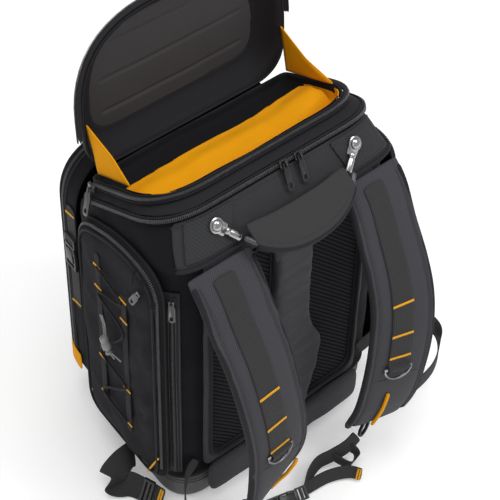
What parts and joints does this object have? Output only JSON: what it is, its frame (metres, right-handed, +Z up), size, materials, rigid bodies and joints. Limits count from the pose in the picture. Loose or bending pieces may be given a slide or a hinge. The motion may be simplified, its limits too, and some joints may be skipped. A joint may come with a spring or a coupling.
{
  "type": "tool backpack",
  "caption": "Tool backpack with a moulded base, an open hard lid over a lined top tray, padded shoulder straps and a carrying handle.",
  "frame": {"origin": "centre of the base's underside", "axes": "+Z up, +Y from the padded back and shoulder straps towards the front pocket, +X to the right of someone who looks at the straps"},
  "size_m": [0.466, 0.3808, 0.6328],
  "materials": {
    "black_cloth": "plain woven",
    "ribbed_cloth": "ribbed weave",
    "pad_cloth": "woven, quilted",
    "mesh_cloth": "open mesh",
    "webbing": "ribbed webbing",
    "yellow_cloth": "brushed cloth",
    "moulded_shell": "heat-moulded",
    "liner": "heat-moulded",
    "rubber": "satin",
    "grip": "smooth",
    "black_plastic": "satin",
    "black_metal": "satin",
    "chrome": "polished"
  },
  "bodies": {
    "bag": {"main_zip": "webbing", "tray_collar": "black_cloth", "tray_rim_zip": "webbing", "lid_shell": "moulded_shell", "lid_liner": "liner", "lid_rim_zip": "webbing", "back_panel": "pad_cloth", "mesh_panel_left": "mesh_cloth", "mesh_panel_right": "mesh_cloth", "spine_pad": "pad_cloth", "lumbar_pad": "pad_cloth", "base_tray": "rubber", "main_body": "black_cloth", "yoke_panel": "ribbed_cloth", "tray_lining": "yellow_cloth", "gusset_left": "yellow_cloth", "gusset_right": "yellow_cloth", "front_pocket": "black_cloth", "front_accent": "yellow_cloth", "front_strap": "webbing", "front_buckle": "black_plastic", "side_pocket_left": "black_cloth", "side_pocket_right": "black_cloth", "main_slider_left": "black_metal", "main_slider_right": "black_metal", "lid_slider": "black_metal", "strap_pad_left": "pad_cloth", "strap_webbing_left": "webbing", "strap_rail_left": "yellow_cloth", "strap_pad_right": "pad_cloth", "strap_webbing_right": "webbing", "strap_rail_right": "yellow_cloth", "lower_webbing_left": "webbing", "lower_webbing_right": "webbing", "handle_patch_left": "ribbed_cloth", "handle_end_left": "chrome", "rivet_left": "chrome", "handle_patch_right": "ribbed_cloth", "handle_end_right": "chrome", "rivet_right": "chrome", "handle_cable": "black_plastic", "handle_grip": "grip", "sternum_webbing": "webbing", "sternum_buckle": "black_plastic", "sternum_hook": "black_plastic", "belt_webbing": "webbing", "belt_lock": "black_plastic", "lace_strip_front": "webbing", "lace_strip_rear": "webbing", "bungee_cord": "webbing", "cord_lock": "black_plastic", "side_zip": "webbing"},
    "lid_pull": {"lid_pull": "black_metal"},
    "main_pull_left": {"main_pull_left": "black_plastic"},
    "main_pull_right": {"main_pull_right": "black_plastic"},
    "pocket_pull_left": {"pocket_pull_left": "black_metal"},
    "pocket_pull_right": {"pocket_pull_right": "black_metal"},
    "side_pull": {"side_pull": "black_metal"},
    "d_ring_left": {"d_ring_left": "black_metal"},
    "d_ring_right": {"d_ring_right": "black_metal"}
  },
  "joints": [
    {"name": "lid_pull_hinge", "type": "hinge", "parent": "bag", "child": "lid_pull", "pos_m": [-0.1617, 0.04983, 0.43916], "axis": [0, 1, 0], "range_deg": [0, 100]},
    {"name": "main_pull_left_hinge", "type": "hinge", "parent": "bag", "child": "main_pull_left", "pos_m": [0.003, -0.09147, 0.47904], "axis": [-1, 0, 0], "range_deg": [0, 100]},
    {"name": "main_pull_right_hinge", "type": "hinge", "parent": "bag", "child": "main_pull_right", "pos_m": [0.025, -0.09147, 0.47904], "axis": [-1, 0, 0], "range_deg": [0, 100]},
    {"name": "pocket_pull_left_hinge", "type": "hinge", "parent": "bag", "child": "pocket_pull_left", "pos_m": [-0.19097, -0.072, 0.386], "axis": [0, 0.8645, 0.5026], "range_deg": [0, 100]},
    {"name": "pocket_pull_right_hinge", "type": "hinge", "parent": "bag", "child": "pocket_pull_right", "pos_m": [0.19097, -0.072, 0.386], "axis": [0, -0.8645, -0.5026], "range_deg": [0, 100]},
    {"name": "side_pull_hinge", "type": "hinge", "parent": "bag", "child": "side_pull", "pos_m": [-0.16439, -0.09585, 0.374], "axis": [-0.6701, 0.7423, 0], "range_deg": [0, 100]},
    {"name": "d_ring_left_hinge", "type": "hinge", "parent": "bag", "child": "d_ring_left", "pos_m": [-0.10722, -0.22092, 0.18644], "axis": [-0.998, -0.0419, -0.0469], "range_deg": [0, 100]},
    {"name": "d_ring_right_hinge", "type": "hinge", "parent": "bag", "child": "d_ring_right", "pos_m": [0.08544, -0.22065, 0.18749], "axis": [-0.9632, 0.2421, 0.1172], "range_deg": [0, 100]}
  ]
}
